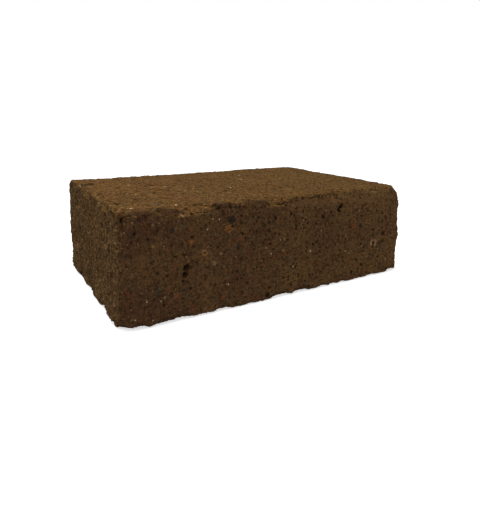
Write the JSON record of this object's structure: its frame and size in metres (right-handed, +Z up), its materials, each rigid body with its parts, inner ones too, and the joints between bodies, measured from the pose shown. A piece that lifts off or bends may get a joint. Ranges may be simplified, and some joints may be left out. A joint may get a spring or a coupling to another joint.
{
  "type": "tuff building block",
  "caption": "Sawn rectangular masonry block of brown volcanic tuff, with split ends, battered sides, worn and spalled arrises, knocked corners and open vesicles; it is laid in mortar on its beds.",
  "frame": {"origin": "middle of the lower bed, the face that the block lies on", "axes": "+X along the length towards the right end, +Y along the width from front to back, +Z up from the lower bed to the upper bed"},
  "size_m": [0.37, 0.25, 0.11],
  "materials": {
    "brown_tuff": "matte"
  },
  "bodies": {
    "root": {"tuff_block": "brown_tuff"}
  },
  "joints": []
}
